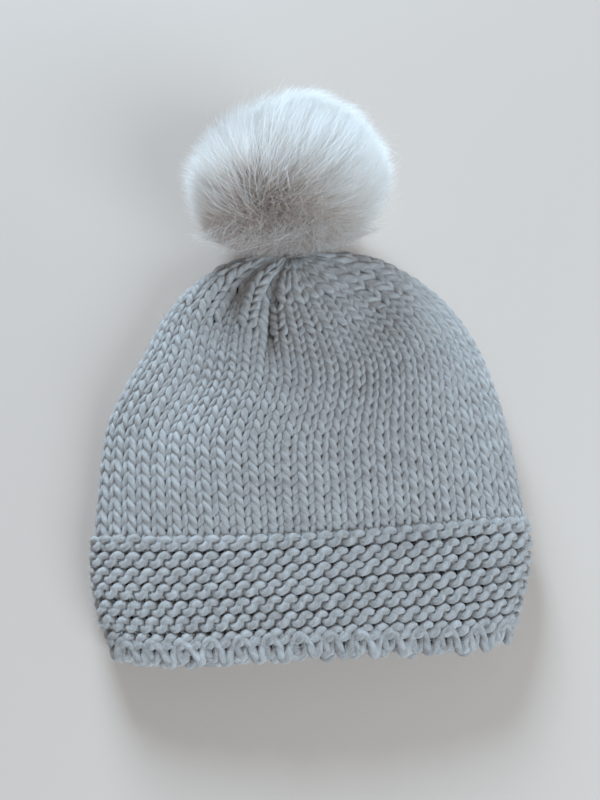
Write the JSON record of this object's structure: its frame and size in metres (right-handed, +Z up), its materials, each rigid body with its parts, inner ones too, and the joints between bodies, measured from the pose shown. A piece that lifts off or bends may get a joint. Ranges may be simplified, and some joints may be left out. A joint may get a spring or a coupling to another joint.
{
  "type": "pom pom beanie",
  "caption": "Bulky hand-knitted beanie with a garter-stitch band, a gathered stockinette crown and a detachable fur pom pom, lying on its back.",
  "frame": {"origin": "on the table, under the middle of the hat and pom together, with the hat lying on its back", "axes": "+Y from the brim opening to the pom, +Z up through the front of the hat, +X across it"},
  "size_m": [0.228, 0.3092, 0.1135],
  "materials": {
    "yarn": "soft bulky greige yarn, slightly fuzzy",
    "seam_yarn": "the same yarn, sewn tight",
    "fur": "long cream fur, taupe at the roots",
    "backing": "matt knitted backing",
    "stuffing": "white polyester fibre",
    "thread": "strong twisted sewing thread",
    "snap_steel": "satin nickel-plated steel",
    "button": "satin plastic"
  },
  "bodies": {
    "hat": {"crown_knit": "yarn", "brim_band": "yarn", "cast_on_edge": "yarn", "back_seam": "seam_yarn", "cast_on_tail": "yarn", "crown_drawstring": "yarn", "drawstring_knot": "yarn", "crown_tail": "yarn", "backing_button": "button", "anchor_stitching": "thread"},
    "shank": {"thread_shank": "thread"},
    "stud": {"snap_stud": "snap_steel", "stud_stitching": "thread"},
    "spring": {"socket_spring": "snap_steel"},
    "pom": {"snap_socket": "snap_steel", "socket_stitching": "thread", "pom_base_disc": "backing", "pom_gather_thread": "thread", "pom_pelt": "backing", "pom_filling": "stuffing", "fur_pile": "fur"}
  },
  "joints": [
    {"name": "pom_nod", "type": "hinge", "parent": "hat", "child": "shank", "pos_m": [0, 0.05821, 0.03439], "axis": [1, 0, 0], "range_deg": [-10, 35]},
    {"name": "pom_sway", "type": "hinge", "parent": "shank", "child": "stud", "pos_m": [0, 0.06055, 0.03553], "axis": [0, -0.4384, 0.8988], "range_deg": [-25, 25]},
    {"name": "pull_off", "type": "slide", "parent": "stud", "child": "spring", "axis": [0, 0.8988, 0.4384], "range_m": [0, 0.03]},
    {"name": "pom_spin", "type": "hinge", "parent": "spring", "child": "pom", "pos_m": [0, 0.06415, 0.03728], "axis": [0, 0.8988, 0.4384], "continuous": true}
  ]
}
